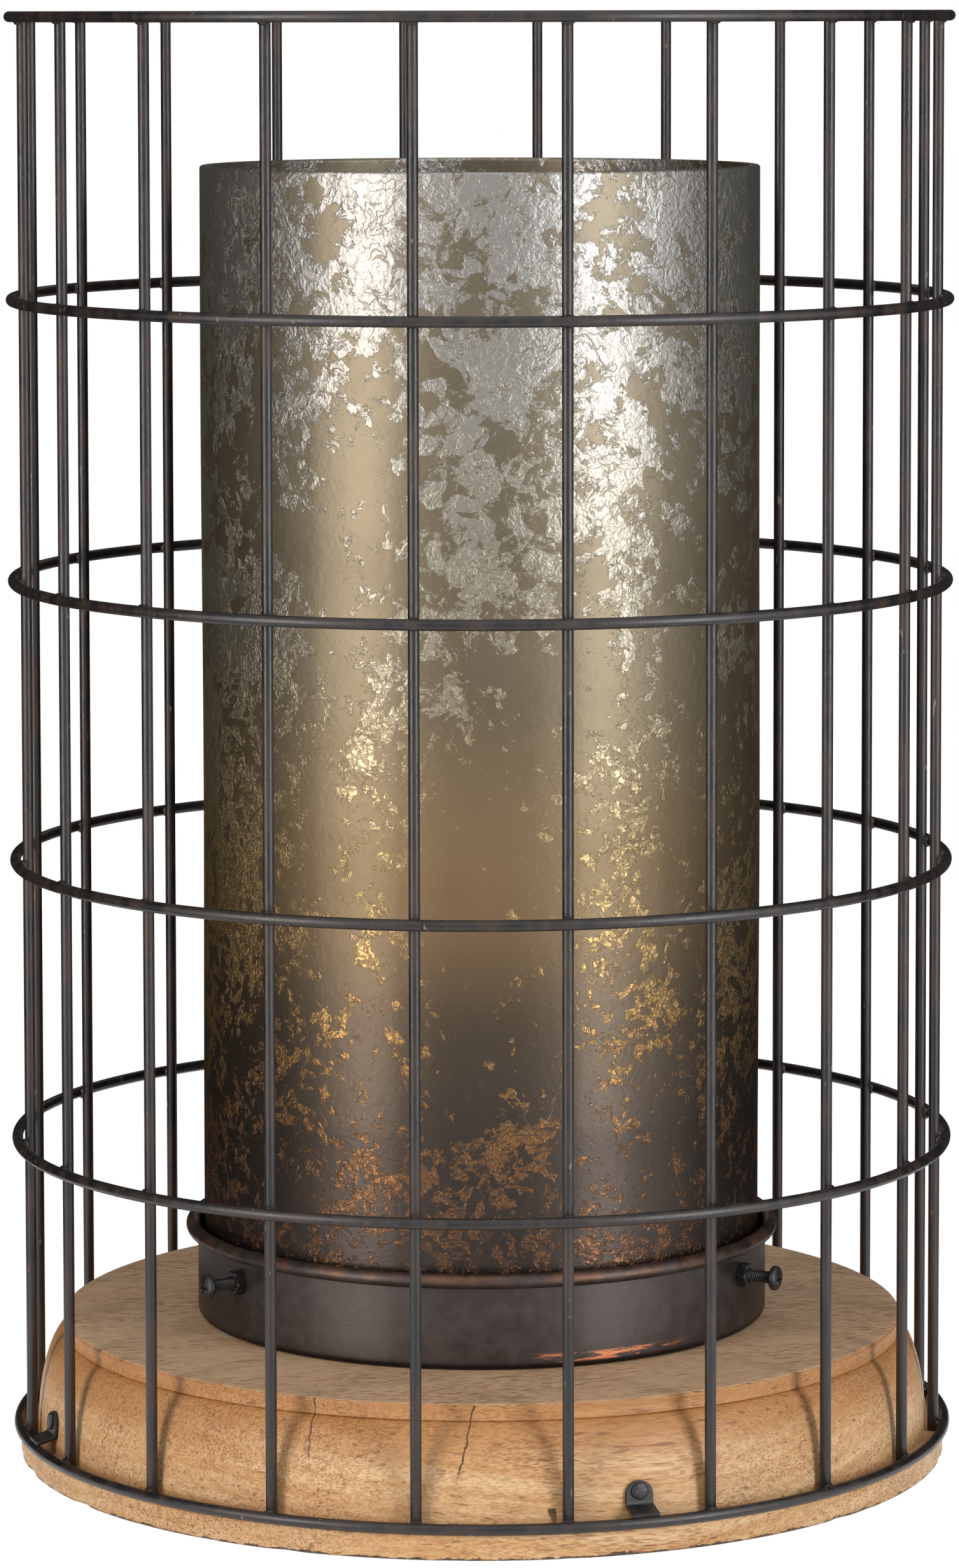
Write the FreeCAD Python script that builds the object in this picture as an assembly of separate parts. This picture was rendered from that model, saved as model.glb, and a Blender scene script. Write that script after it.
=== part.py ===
import FreeCAD, Part
import math
import os

# Hurricane candle lantern: a glass chimney stands in a spun metal gallery on a turned wooden base,
# inside a cage of welded wire rings and rods.
# Millimetres. The origin is the centre of the base's underside, +Z is up and the front faces -Y.

# Wire cage
WIRE_DIAMETER = 3.5
RING_RADIUS = 150.0            # to the wire's centre line
UPPER_GAP = 90.0               # between the upper rings
UPPER_GAP_COUNT = 4
LOWEST_GAP = 93.0              # between the lowest two rings
ROD_COUNT = 20
ROD_PHASE = 10.2               # degrees from the front to the first rod
WELD_BITE = 0.15               # how deep a rod sinks into a ring at a weld

# Turned wooden base
FLANGE_SET_BACK = 0.5          # from the lowest ring's centre line in to the flange's edge
FLANGE_HEIGHT = 8.0
FLANGE_ROUND = 0.8
BODY_CLEARANCE = 0.9           # from the rods in to the widest part of the moulded body
OVOLO_WIDTH = 9.8
OVOLO_HEIGHT = 31.3
LIP_HEIGHT = 5.2
LIP_OVERHANG = 1.4
LIP_HOLLOW = 0.25              # how deep the lip's side is hollowed
LIP_ROUND = 1.0

# Glass chimney
GLASS_RADIUS = 90.0
GLASS_WALL = 2.8
GLASS_HEIGHT = 370.0
GLASS_EDGE_ROUND = 0.9

# Spun gallery
GALLERY_SHEET = 0.8
GALLERY_CLEARANCE = 1.2        # between the glass and the gallery's wall
GALLERY_HEIGHT = 30.7
BEAD_RADIUS = 2.3
BEAD_CURL = 300.0              # degrees that the rim is rolled outwards

# Set screws through nuts on the gallery's wall
SCREW_COUNT = 3
SCREW_PHASE = 63.7             # degrees from the front to the first screw
SCREW_DROP = 7.0               # from the bead's underside down to a screw's axis
SCREW_RADIUS = 2.0
SCREW_FIT = 0.06               # radial clearance in the nut and in the wall
SCREW_TIP_GAP = 0.3            # between a screw's tip and the glass
THREAD_SHOWN = 8.0             # bare thread between the nut and the head
SCREW_HEAD_RADIUS = 3.9
SCREW_HEAD_HEIGHT = 2.7
SCREW_HEAD_EDGE = 1.1          # height of the head's straight side
RECESS_LENGTH = 4.4
RECESS_WIDTH = 1.0
RECESS_DEPTH = 1.4
NUT_FLATS = 7.0
NUT_HEIGHT = 3.2

# Wood screws that hold the gallery to the base
WOOD_SCREW_COUNT = 3
WOOD_SCREW_PHASE = 30.0
WOOD_SCREW_RADIUS = 2.0
WOOD_SCREW_LENGTH = 20.0
WOOD_SCREW_HEAD_RADIUS = 4.0
WOOD_SCREW_HEAD_HEIGHT = 2.2
DRILL_CLEARANCE = 0.05         # round every fixed shank

# Pillar candle
CANDLE_RADIUS = 37.5
CANDLE_HEIGHT = 130.0
CANDLE_SHOULDER = 4.0
CANDLE_FOOT_BEVEL = 1.5
MELT_POOL_RADIUS = 27.0
MELT_POOL_DEPTH = 3.5
WICK_RADIUS = 0.9
WICK_SHOWN = 9.0
WICK_DEPTH = 20.0

# Fixing tabs between the lowest ring and the base, each held by a nail
TAB_COUNT = 4
TAB_WIDTH = 9.0
TAB_SHEET = 1.2
TAB_RISE = 13.3                # above the flange's ledge
TAB_SEAT_GAP = 0.25            # clears the curve of the wood
TAB_FOOT_SLOPE = 15.0          # degrees below level, out over the ring
TAB_FOOT_GAP = 0.1             # between the foot and the wire
TAB_BEND_RADIUS = 1.0          # on the inside of the bend
NAIL_DROP = 3.2                # from the tab's top to the nail
NAIL_RADIUS = 1.2
NAIL_LENGTH = 14.0
NAIL_HEAD_RADIUS = 2.7
NAIL_HEAD_HEIGHT = 0.9

# Sizes that follow from the driving dimensions
WIRE_RADIUS = WIRE_DIAMETER / 2
LEDGE_Z = FLANGE_HEIGHT
LOWEST_RING_Z = LEDGE_Z + WIRE_RADIUS
RING_HEIGHTS = [LOWEST_RING_Z]
RING_HEIGHTS += [LOWEST_RING_Z + LOWEST_GAP + UPPER_GAP * i for i in range(UPPER_GAP_COUNT + 1)]
RING_NAMES = ["bottom"] + [str(len(RING_HEIGHTS) - i) for i in range(1, len(RING_HEIGHTS) - 1)] + ["top"]
ROD_CIRCLE = RING_RADIUS - WIRE_DIAMETER + WELD_BITE
ROD_PITCH = 360.0 / ROD_COUNT
ROD_FOOT_Z = LEDGE_Z + WELD_BITE
ROD_TOP_Z = RING_HEIGHTS[-1] + WIRE_RADIUS - WELD_BITE

FLANGE_RADIUS = RING_RADIUS - FLANGE_SET_BACK
BODY_RADIUS = ROD_CIRCLE - WIRE_RADIUS - BODY_CLEARANCE
CREASE_RADIUS = BODY_RADIUS - OVOLO_WIDTH
CREASE_Z = LEDGE_Z + OVOLO_HEIGHT
LIP_RADIUS = CREASE_RADIUS + LIP_OVERHANG
BASE_TOP_Z = CREASE_Z + LIP_HEIGHT

CUP_FLOOR_Z = BASE_TOP_Z + GALLERY_SHEET
CUP_INNER_RADIUS = GLASS_RADIUS + GALLERY_CLEARANCE
CUP_OUTER_RADIUS = CUP_INNER_RADIUS + GALLERY_SHEET
CUP_INNER_CORNER = GALLERY_CLEARANCE
BEAD_CENTRE_RADIUS = CUP_INNER_RADIUS + BEAD_RADIUS
BEAD_CENTRE_Z = BASE_TOP_Z + GALLERY_HEIGHT - BEAD_RADIUS
GLASS_INNER_RADIUS = GLASS_RADIUS - GLASS_WALL

SCREW_Z = BEAD_CENTRE_Z - BEAD_RADIUS - SCREW_DROP
SCREW_HOLE_RADIUS = SCREW_RADIUS + SCREW_FIT
SCREW_TIP_RADIUS = GLASS_RADIUS + SCREW_TIP_GAP
SCREW_SHOULDER_RADIUS = CUP_OUTER_RADIUS + NUT_HEIGHT + THREAD_SHOWN
WOOD_SCREW_CIRCLE = (CANDLE_RADIUS + GLASS_INNER_RADIUS) / 2

UP = FreeCAD.Vector(0, 0, 1)
FRONT = FreeCAD.Vector(0, -1, 0)
ORIGIN = FreeCAD.Vector(0, 0, 0)


def at(radius, height):
    """A point of a turned profile, drawn in the plane that faces the front."""
    return FreeCAD.Vector(0, -radius, height)


def line(start, end):
    return Part.LineSegment(start, end).toShape()


def arc(start, middle, end):
    return Part.Arc(start, middle, end).toShape()


def quarter_arc(start, corner, end):
    """The quarter of an ellipse from start to end that is tangent to the two sides of corner."""
    curve = Part.BezierCurve()
    curve.setPoles([start, corner, end])
    curve.setWeight(2, math.sqrt(0.5))
    return curve.toShape()


def turned(edges):
    """A solid of revolution about the lantern's axis."""
    face = Part.Face(Part.Wire(edges))
    return face.revolve(ORIGIN, UP, 360)


def round_the_axis(shape, angle):
    """A copy of a shape made at the front, turned to the right by an angle."""
    return shape.rotated(ORIGIN, UP, angle)


def rod_angle(index):
    return ROD_PHASE + ROD_PITCH * index


def tab_angles():
    """Each tab is midway between two neighbouring rods."""
    steps = [round(ROD_COUNT * i / TAB_COUNT) for i in range(TAB_COUNT)]
    return [rod_angle(step + 0.5) for step in steps]


def screw_angles():
    return [SCREW_PHASE + 360.0 * i / SCREW_COUNT for i in range(SCREW_COUNT)]


def wood_screw_angles():
    return [WOOD_SCREW_PHASE + 360.0 * i / WOOD_SCREW_COUNT for i in range(WOOD_SCREW_COUNT)]


def ovolo_radius(height):
    """The wood's radius on the elliptical moulding between the ledge and the crease."""
    share = (height - LEDGE_Z) / OVOLO_HEIGHT
    return CREASE_RADIUS + OVOLO_WIDTH * math.sqrt(1 - share * share)


def wood_base():
    """Turned base: flange with a ledge for the cage, an ovolo body and a lip under the flat top."""
    bottom_edge = at(FLANGE_RADIUS - FLANGE_ROUND, 0)
    bottom_side = at(FLANGE_RADIUS, FLANGE_ROUND)
    ledge_edge = at(FLANGE_RADIUS, LEDGE_Z)
    ledge_root = at(BODY_RADIUS, LEDGE_Z)
    crease = at(CREASE_RADIUS, CREASE_Z)
    lip_side = at(LIP_RADIUS, BASE_TOP_Z - LIP_ROUND)
    lip_middle = (crease + lip_side) / 2 + at(-LIP_HOLLOW, 0)
    lip_top = at(LIP_RADIUS - LIP_ROUND, BASE_TOP_Z)
    top_centre = at(0, BASE_TOP_Z)
    solid = turned([
        line(ORIGIN, bottom_edge),
        quarter_arc(bottom_edge, at(FLANGE_RADIUS, 0), bottom_side),
        line(bottom_side, ledge_edge),
        line(ledge_edge, ledge_root),
        quarter_arc(ledge_root, at(BODY_RADIUS, CREASE_Z), crease),
        arc(crease, lip_middle, lip_side),
        quarter_arc(lip_side, at(LIP_RADIUS, BASE_TOP_Z), lip_top),
        line(lip_top, top_centre),
        line(top_centre, ORIGIN),
    ])
    return solid.cut(wood_screw_shanks(DRILL_CLEARANCE)).cut(nail_shanks(DRILL_CLEARANCE))


def cage_ring(height):
    return Part.makeTorus(RING_RADIUS, WIRE_RADIUS, FreeCAD.Vector(0, 0, height), UP)


def cage_rod(index):
    rod = Part.makeCylinder(WIRE_RADIUS, ROD_TOP_Z - ROD_FOOT_Z, at(ROD_CIRCLE, ROD_FOOT_Z), UP)
    return round_the_axis(rod, rod_angle(index))


def bead_point(radius, angle):
    """A point of the rolled rim, by its angle round the bead from the outside, upwards."""
    turn = math.radians(angle)
    return at(BEAD_CENTRE_RADIUS + radius * math.cos(turn), BEAD_CENTRE_Z + radius * math.sin(turn))


def gallery_cup():
    """Spun sheet cup: a flat floor, a straight wall and a rim rolled outwards into a bead."""
    roll_inner = BEAD_RADIUS - GALLERY_SHEET
    roll_start = 180.0
    roll_middle = roll_start - BEAD_CURL / 2
    roll_end = roll_start - BEAD_CURL
    outer_corner = CUP_INNER_CORNER + GALLERY_SHEET
    floor_centre = at(0, CUP_FLOOR_Z)
    floor_edge = at(CUP_INNER_RADIUS - CUP_INNER_CORNER, CUP_FLOOR_Z)
    wall_inner_foot = at(CUP_INNER_RADIUS, CUP_FLOOR_Z + CUP_INNER_CORNER)
    wall_outer_foot = at(CUP_OUTER_RADIUS, BASE_TOP_Z + outer_corner)
    under_edge = at(CUP_OUTER_RADIUS - outer_corner, BASE_TOP_Z)
    under_centre = at(0, BASE_TOP_Z)
    outer_roll = [bead_point(BEAD_RADIUS, a) for a in (roll_start, roll_middle, roll_end)]
    inner_roll = [bead_point(roll_inner, a) for a in (roll_end, roll_middle, roll_start)]
    cup = turned([
        line(floor_centre, floor_edge),
        quarter_arc(floor_edge, at(CUP_INNER_RADIUS, CUP_FLOOR_Z), wall_inner_foot),
        line(wall_inner_foot, outer_roll[0]),
        arc(*outer_roll),
        line(outer_roll[2], inner_roll[0]),
        arc(*inner_roll),
        line(inner_roll[2], wall_outer_foot),
        quarter_arc(wall_outer_foot, at(CUP_OUTER_RADIUS, BASE_TOP_Z), under_edge),
        line(under_edge, under_centre),
        line(under_centre, floor_centre),
    ])
    drill_length = CUP_OUTER_RADIUS + GALLERY_CLEARANCE - GLASS_RADIUS
    drill = Part.makeCylinder(SCREW_HOLE_RADIUS, drill_length, at(GLASS_RADIUS, SCREW_Z), FRONT)
    for angle in screw_angles():
        cup = cup.cut(round_the_axis(drill, angle))
    return cup.cut(wood_screw_shanks(DRILL_CLEARANCE))


def gallery_nuts():
    """The nuts on the gallery's wall, which the set screws run through."""
    seat = at(CUP_OUTER_RADIUS, SCREW_Z)
    corner_radius = NUT_FLATS / math.sqrt(3)
    turns = [math.radians(60 * i) for i in range(7)]
    corners = [seat + FreeCAD.Vector(math.cos(t), 0, math.sin(t)) * corner_radius for t in turns]
    nut = Part.Face(Part.makePolygon(corners)).extrude(FRONT * NUT_HEIGHT)
    bevel_foot = corner_radius + NUT_HEIGHT
    bevel_top = NUT_FLATS / 2
    bevel_length = bevel_foot - bevel_top
    bevel_start = seat + FRONT * (NUT_HEIGHT - bevel_length)
    nut = nut.common(Part.makeCone(bevel_foot, bevel_top, bevel_length, bevel_start, FRONT))
    nut = nut.cut(Part.makeCylinder(SCREW_HOLE_RADIUS, NUT_HEIGHT, seat, FRONT))
    return Part.makeCompound([round_the_axis(nut, angle) for angle in screw_angles()])


def set_screw(angle):
    """Pan head screw with a cross recess; its tip bears on the glass."""
    shank_length = SCREW_SHOULDER_RADIUS - SCREW_TIP_RADIUS
    shank = Part.makeCylinder(SCREW_RADIUS, shank_length, at(SCREW_TIP_RADIUS, SCREW_Z), FRONT)
    under = at(SCREW_SHOULDER_RADIUS, SCREW_Z)
    rim_low = under + UP * SCREW_HEAD_RADIUS
    rim_high = rim_low + FRONT * SCREW_HEAD_EDGE
    crown = under + FRONT * SCREW_HEAD_HEIGHT
    crown_corner = rim_low + FRONT * SCREW_HEAD_HEIGHT
    outline = Part.Wire([
        line(under, rim_low),
        line(rim_low, rim_high),
        quarter_arc(rim_high, crown_corner, crown),
        line(crown, under),
    ])
    head = Part.Face(outline).revolve(under, FRONT, 360)
    slot = Part.makeBox(RECESS_LENGTH, RECESS_DEPTH, RECESS_WIDTH)
    slot.translate(crown - FreeCAD.Vector(RECESS_LENGTH / 2, 0, RECESS_WIDTH / 2))
    recess = slot.fuse(slot.rotated(crown, FRONT, 90))
    screw = shank.fuse(head).cut(recess).removeSplitter()
    return round_the_axis(screw, angle)


def wood_screw_shanks(clearance):
    """Shanks of the gallery's wood screws, or with a clearance the holes drilled for them."""
    length = WOOD_SCREW_LENGTH + GALLERY_SHEET + clearance
    shank = Part.makeCylinder(WOOD_SCREW_RADIUS + clearance, length, at(WOOD_SCREW_CIRCLE, CUP_FLOOR_Z), -UP)
    return Part.makeCompound([round_the_axis(shank, angle) for angle in wood_screw_angles()])


def gallery_wood_screws():
    """Round-headed wood screws through the gallery's floor."""
    seat = at(WOOD_SCREW_CIRCLE, CUP_FLOOR_Z)
    rim = seat + FRONT * WOOD_SCREW_HEAD_RADIUS
    crown = seat + UP * WOOD_SCREW_HEAD_HEIGHT
    outline = Part.Wire([
        line(seat, rim),
        quarter_arc(rim, rim + UP * WOOD_SCREW_HEAD_HEIGHT, crown),
        line(crown, seat),
    ])
    head = Part.Face(outline).revolve(seat, UP, 360)
    heads = [round_the_axis(head, angle) for angle in wood_screw_angles()]
    screws = [head.fuse(shank) for head, shank in zip(heads, wood_screw_shanks(0).Solids)]
    return Part.makeCompound([screw.removeSplitter() for screw in screws])


def glass_chimney():
    """Open glass cylinder with fire-polished edges."""
    foot = CUP_FLOOR_Z
    top = foot + GLASS_HEIGHT
    outer = GLASS_RADIUS
    inner = GLASS_INNER_RADIUS
    edge = GLASS_EDGE_ROUND
    corners = [at(outer, foot), at(outer, top), at(inner, top), at(inner, foot)]
    starts = [at(outer - edge, foot), at(outer, top - edge), at(inner + edge, top), at(inner, foot + edge)]
    ends = [at(outer, foot + edge), at(outer - edge, top), at(inner, top - edge), at(inner + edge, foot)]
    edges = []
    for i, corner in enumerate(corners):
        edges.append(quarter_arc(starts[i], corner, ends[i]))
        edges.append(line(ends[i], starts[(i + 1) % len(corners)]))
    return turned(edges)


def candle_wick():
    pool_z = CUP_FLOOR_Z + CANDLE_HEIGHT - MELT_POOL_DEPTH
    return Part.makeCylinder(WICK_RADIUS, WICK_DEPTH + WICK_SHOWN, at(0, pool_z - WICK_DEPTH), UP)


def pillar_candle():
    """Pillar candle with a rounded shoulder and a shallow melt pool round the wick."""
    foot = CUP_FLOOR_Z
    top = foot + CANDLE_HEIGHT
    pool_floor = top - MELT_POOL_DEPTH
    bevel_in = at(CANDLE_RADIUS - CANDLE_FOOT_BEVEL, foot)
    bevel_out = at(CANDLE_RADIUS, foot + CANDLE_FOOT_BEVEL)
    shoulder_low = at(CANDLE_RADIUS, top - CANDLE_SHOULDER)
    shoulder_high = at(CANDLE_RADIUS - CANDLE_SHOULDER, top)
    pool_edge = at(MELT_POOL_RADIUS, top)
    pool_centre = at(0, pool_floor)
    solid = turned([
        line(at(0, foot), bevel_in),
        line(bevel_in, bevel_out),
        line(bevel_out, shoulder_low),
        quarter_arc(shoulder_low, at(CANDLE_RADIUS, top), shoulder_high),
        line(shoulder_high, pool_edge),
        quarter_arc(pool_edge, at(MELT_POOL_RADIUS, pool_floor), pool_centre),
        line(pool_centre, at(0, foot)),
    ])
    drill_depth = WICK_DEPTH + DRILL_CLEARANCE
    drill = Part.makeCylinder(WICK_RADIUS + DRILL_CLEARANCE, drill_depth, at(0, pool_floor - drill_depth), UP)
    drill_mouth = Part.makeCylinder(WICK_RADIUS + DRILL_CLEARANCE, WICK_SHOWN, at(0, pool_floor), UP)
    return solid.cut(drill.fuse(drill_mouth))


def square_to(direction):
    """The unit vector square to a direction in the front profile, on its outer or upper side."""
    return at(-direction.z, -direction.y).normalize()


def tab_line():
    """The tab's wood side in the front profile: its top, its bend and the end of its foot."""
    top_z = LEDGE_Z + TAB_RISE
    foot_lift = WIRE_RADIUS + TAB_FOOT_GAP
    low_z = LOWEST_RING_Z + foot_lift
    top = at(ovolo_radius(top_z) + TAB_SEAT_GAP, top_z)
    low = at(ovolo_radius(low_z) + TAB_SEAT_GAP, low_z)
    down = (low - top).normalize()
    slope = math.radians(TAB_FOOT_SLOPE)
    outward = at(math.cos(slope), -math.sin(slope))
    foot_end = at(RING_RADIUS, LOWEST_RING_Z) + square_to(outward) * foot_lift
    reach = (foot_end - top).dot(square_to(outward)) / down.dot(square_to(outward))
    bend = top + down * reach
    return top, bend, foot_end


def fixing_tab(angle):
    """Strip bent outwards at its foot, which lies on the lowest ring; its top is round."""
    top, bend, foot_end = tab_line()
    plate_normal = square_to(bend - top)
    foot_normal = square_to(foot_end - bend)
    mitre = (plate_normal + foot_normal).normalize()
    outer_bend = bend + mitre * (TAB_SHEET / mitre.dot(plate_normal))
    outer_top = top + plate_normal * TAB_SHEET
    corners = [top, bend, foot_end, foot_end + foot_normal * TAB_SHEET, outer_bend, outer_top, top]
    side = Part.Face(Part.makePolygon(corners))
    across = FreeCAD.Vector(TAB_WIDTH, 0, 0)
    side.translate(across * -0.5)
    strip = side.extrude(across)
    inside = [e for e in strip.Edges if e.CenterOfMass.isEqual(outer_bend, TAB_FOOT_GAP)]
    strip = strip.makeFillet(TAB_BEND_RADIUS, inside)
    outside = [e for e in strip.Edges if e.CenterOfMass.isEqual(bend, TAB_FOOT_GAP)]
    strip = strip.makeFillet(TAB_BEND_RADIUS + TAB_SHEET, outside)
    half = TAB_WIDTH / 2
    left = FreeCAD.Vector(-half, 0, outer_top.z - half)
    right = FreeCAD.Vector(half, 0, outer_top.z - half)
    crown = FreeCAD.Vector(0, 0, outer_top.z)
    down = FreeCAD.Vector(0, 0, -outer_top.z)
    outline = Part.Wire([
        line(left + down, right + down),
        line(right + down, right),
        arc(right, crown, left),
        line(left, left + down),
    ])
    blank = Part.Face(outline).extrude(FRONT * (RING_RADIUS + WIRE_DIAMETER))
    strip = strip.common(blank).cut(nail_shank(DRILL_CLEARANCE))
    return round_the_axis(strip, angle)


def nail_seat():
    """Where the nail's head meets the tab, and the way out of the wood."""
    top, bend, foot_end = tab_line()
    out = square_to(bend - top)
    return top + (bend - top).normalize() * NAIL_DROP + out * TAB_SHEET, out


def nail_shank(clearance):
    seat, out = nail_seat()
    return Part.makeCylinder(NAIL_RADIUS + clearance, NAIL_LENGTH + clearance, seat, -out)


def nail_shanks(clearance):
    return Part.makeCompound([round_the_axis(nail_shank(clearance), angle) for angle in tab_angles()])


def tab_nails():
    """Flat-headed nails through the tabs."""
    seat, out = nail_seat()
    head = Part.makeCylinder(NAIL_HEAD_RADIUS, NAIL_HEAD_HEIGHT, seat, out)
    nail = head.fuse(nail_shank(0)).removeSplitter()
    return Part.makeCompound([round_the_axis(nail, angle) for angle in tab_angles()])


def all_parts():
    """Every piece of the lantern by its name."""
    parts = {
        "wood_base": wood_base(),
        "gallery_cup": gallery_cup(),
        "gallery_nuts": gallery_nuts(),
        "gallery_wood_screws": gallery_wood_screws(),
        "glass_chimney": glass_chimney(),
        "pillar_candle": pillar_candle(),
        "candle_wick": candle_wick(),
        "tab_nails": tab_nails(),
    }
    for name, height in zip(RING_NAMES, RING_HEIGHTS):
        parts["cage_ring_" + name] = cage_ring(height)
    for i in range(ROD_COUNT):
        parts["cage_rod_%02d" % (i + 1)] = cage_rod(i)
    for i, angle in enumerate(screw_angles()):
        parts["set_screw_%d" % (i + 1)] = set_screw(angle)
    for i, angle in enumerate(tab_angles()):
        parts["fixing_tab_%d" % (i + 1)] = fixing_tab(angle)
    return parts


os.makedirs("parts", exist_ok=True)
for node, shape in all_parts().items():
    shape.exportStep("parts/" + node + ".step")
    print(node, "solids", len(shape.Solids), "valid", shape.isValid(), "volume %.1f" % shape.Volume)
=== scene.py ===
# %% [markdown]
# # Hurricane candle lantern
#
# A cage of welded wire stands on a turned wooden base. Inside it a glass chimney covered with torn
# metal leaf stands in a spun gallery, round a burning pillar candle.
# The CAD model gives the size and place of every piece. This lesson gives the pieces their fine shapes
# and finishes, each worked out as a surface of two parameters with numpy.

# %% Load the CAD model
import math

import bmesh
import bpy
import numpy as np
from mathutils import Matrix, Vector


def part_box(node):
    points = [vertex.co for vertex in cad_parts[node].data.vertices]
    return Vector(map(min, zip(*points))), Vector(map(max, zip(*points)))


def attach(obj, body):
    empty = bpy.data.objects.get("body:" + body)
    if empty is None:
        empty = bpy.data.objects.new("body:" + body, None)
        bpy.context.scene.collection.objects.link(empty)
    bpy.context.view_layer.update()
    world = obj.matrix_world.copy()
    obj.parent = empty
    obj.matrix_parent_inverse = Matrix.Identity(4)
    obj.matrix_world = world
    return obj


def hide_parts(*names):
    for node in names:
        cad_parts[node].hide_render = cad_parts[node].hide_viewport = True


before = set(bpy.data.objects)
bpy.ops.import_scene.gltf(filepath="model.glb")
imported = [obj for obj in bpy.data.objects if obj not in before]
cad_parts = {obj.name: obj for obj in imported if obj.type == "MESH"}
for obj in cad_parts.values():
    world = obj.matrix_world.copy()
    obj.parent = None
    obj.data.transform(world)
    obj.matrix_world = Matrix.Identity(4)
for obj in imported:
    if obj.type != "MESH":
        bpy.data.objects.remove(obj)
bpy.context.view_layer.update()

# %% [markdown]
# ## Making a piece from grids of points
#
# Every shape here is a grid of points: rows along a profile, columns round an axis. A lathe turns a
# profile, as the wood turner and the metal spinner do. Spin or Screw in Blender could do this too, but
# with plain arrays the formula stays in sight and the points can be pushed about before the mesh is made.
# Rows or columns that close on themselves are joined, poles and seams are merged, and faces are turned outwards.

# %% Lathe, mesh and piece helpers
MM = 0.001


def turned(profile, steps):
    """Surface of revolution: each profile point (r, z) goes round the upright axis by the angle a from the
    front, to x = r sin a, y = -r cos a, z."""
    angle = np.linspace(0, 2 * np.pi, steps, endpoint=False)
    r, z = np.asarray(profile, float).T[:, :, None]
    return np.stack([r * np.sin(angle), -r * np.cos(angle), z + 0 * angle], -1)


def arc(centre, radius, start, end, count):
    """Points of a circle: centre + radius (cos t, sin t), for t from start to end in degrees."""
    t = np.radians(np.linspace(start, end, count))
    return np.stack([centre[0] + radius * np.cos(t), centre[1] + radius * np.sin(t)], -1)


def quads(rows, columns, rows_close, columns_close):
    """Four corner numbers for each cell between neighbouring rows and columns of a grid."""
    i, j = np.meshgrid(np.arange(rows - (not rows_close)), np.arange(columns - (not columns_close)), indexing="ij")
    k, m = (i + 1) % rows, (j + 1) % columns
    return np.stack([i * columns + j, k * columns + j, k * columns + m, i * columns + m], -1).reshape(-1, 4)


def make_piece(name, grids, body, replaced=(), rows_close=False, columns_close=True, sharp=40):
    """One object from one or more grids of points, riding on a CAD body in place of CAD nodes."""
    points, faces, first = [], [], 0
    for grid in grids:
        points.append(grid.reshape(-1, 3))
        faces.append(quads(*grid.shape[:2], rows_close, columns_close) + first)
        first += len(points[-1])
    mesh = bpy.data.meshes.new(name)
    mesh.from_pydata(np.concatenate(points).tolist(), [], np.concatenate(faces).tolist())
    work = bmesh.new()
    work.from_mesh(mesh)
    bmesh.ops.remove_doubles(work, verts=work.verts, dist=1e-7)
    bmesh.ops.recalc_face_normals(work, faces=work.faces)
    work.to_mesh(mesh)
    work.free()
    mesh.shade_smooth()
    mesh.set_sharp_from_angle(angle=math.radians(sharp))
    piece = bpy.data.objects.new(name, mesh)
    bpy.context.scene.collection.objects.link(piece)
    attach(piece, body)
    if replaced:
        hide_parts(*replaced)
    print(f"{name}: {len(mesh.polygons)} faces on {body}")
    return piece


def wander(angle, seed, lowest, highest):
    """A closed wavy line between about -1 and 1: sines of whole numbers of waves round the axis, random phases."""
    chance = np.random.default_rng(seed)
    waves = np.arange(lowest, highest + 1)
    phase = chance.uniform(0, 2 * np.pi, len(waves))
    size = chance.uniform(0.4, 1.0, len(waves))
    total = (size * np.sin(waves * angle[..., None] + phase)).sum(-1)
    return total / (1.6 * np.sqrt((size ** 2).sum() / 2))


# %% [markdown]
# ## Colours and nodes
#
# A colour picked from a picture is not the number that light needs, so tint() does that sum once.
# The other helpers only make nodes and join them, so that a finish reads as a list of what it does.
# Every pattern is worked out from Object coordinates, in metres, so it stays on its piece from any side.

# %% Node helpers
def tint(red, green, blue):
    """A colour as given, 0 to 255, as the linear light values that a shader takes."""
    c = np.array([red, green, blue]) / 255
    return (*np.where(c <= 0.04045, c / 12.92, ((c + 0.055) / 1.055) ** 2.4).tolist(), 1.0)


def node(tree, kind, inputs=None, **settings):
    """A new node. An input's value is either a plain value or the socket that feeds it."""
    made = tree.nodes.new(kind)
    for key, value in settings.items():
        setattr(made, key, value)
    for key, value in (inputs or {}).items():
        if isinstance(value, bpy.types.NodeSocket):
            tree.links.new(value, made.inputs[key])
        else:
            made.inputs[key].default_value = value
    return made


def sums(tree, what, a, b=0.0, c=0.0):
    return node(tree, "ShaderNodeMath", {0: a, 1: b, 2: c}, operation=what).outputs[0]


def cloud(tree, where, scale, detail=3.0, rough=0.5, bent=0.0):
    """Soft noise from 0 to 1 with about `scale` lumps to the metre."""
    inputs = {"Vector": where, "Scale": scale, "Detail": detail, "Roughness": rough, "Distortion": bent}
    return node(tree, "ShaderNodeTexNoise", inputs).outputs["Fac"]


def cells(tree, where, scale, feature, output="Distance"):
    inputs = {"Vector": where, "Scale": scale}
    return node(tree, "ShaderNodeTexVoronoi", inputs, feature=feature).outputs[output]


def gate(tree, value, low, high, first=0.0, last=1.0):
    """Goes smoothly from first to last while the value goes from low to high."""
    inputs = {"Value": value, "From Min": low, "From Max": high, "To Min": first, "To Max": last}
    return node(tree, "ShaderNodeMapRange", inputs, interpolation_type="SMOOTHSTEP").outputs["Result"]


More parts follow.
